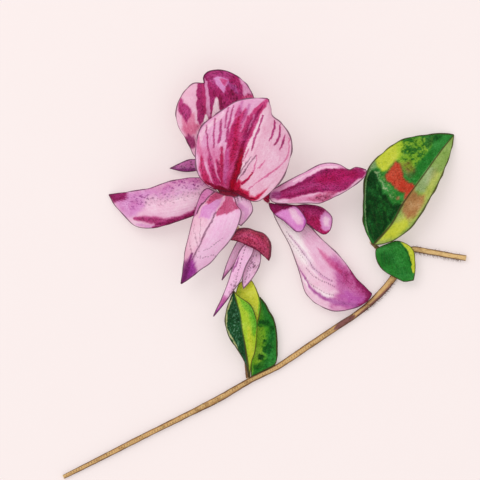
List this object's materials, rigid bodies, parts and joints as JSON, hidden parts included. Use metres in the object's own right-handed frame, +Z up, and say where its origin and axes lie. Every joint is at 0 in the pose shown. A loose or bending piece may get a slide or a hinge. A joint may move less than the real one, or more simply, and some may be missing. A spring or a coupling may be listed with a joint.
{
  "type": "bush clover flower",
  "caption": "Sprig of bush clover laid down as picked: pink and magenta pea flowers, a bud and green leaflets on a thin brown twig.",
  "frame": {"origin": "middle of the sprig's box in plan, on the surface it lies on", "axes": "+Z up from the surface, +Y from the cut twig towards the flowers, +X towards the leafy end of the twig"},
  "size_m": [0.0892, 0.0902, 0.0141],
  "materials": {
    "bark": "matte",
    "green_stalk": "matte",
    "calyx": "matte",
    "pale_petal": "satin",
    "lilac_petal": "satin",
    "magenta_petal": "satin",
    "leaflet": "satin",
    "yellow_leaflet": "satin"
  },
  "bodies": {
    "root": {"twig": "bark", "leaf_stalk": "green_stalk", "flower_stalk": "green_stalk", "main_calyx": "calyx", "back_calyx": "calyx", "side_calyx": "calyx", "main_banner": "pale_petal", "main_wing_left": "lilac_petal", "main_wing_right": "pale_petal", "main_keel": "pale_petal", "back_banner": "magenta_petal", "back_wing": "lilac_petal", "side_banner": "magenta_petal", "side_wing": "lilac_petal", "side_tongue": "magenta_petal", "side_keel": "pale_petal", "bud_calyx": "calyx", "bud_petal_left": "lilac_petal", "bud_petal_middle": "lilac_petal", "bud_petal_right": "lilac_petal", "leaflet_folded": "leaflet", "leaflet_yellow": "yellow_leaflet", "leaflet_broad": "leaflet", "leaflet_large": "leaflet", "leaflet_small": "leaflet"}
  },
  "joints": []
}
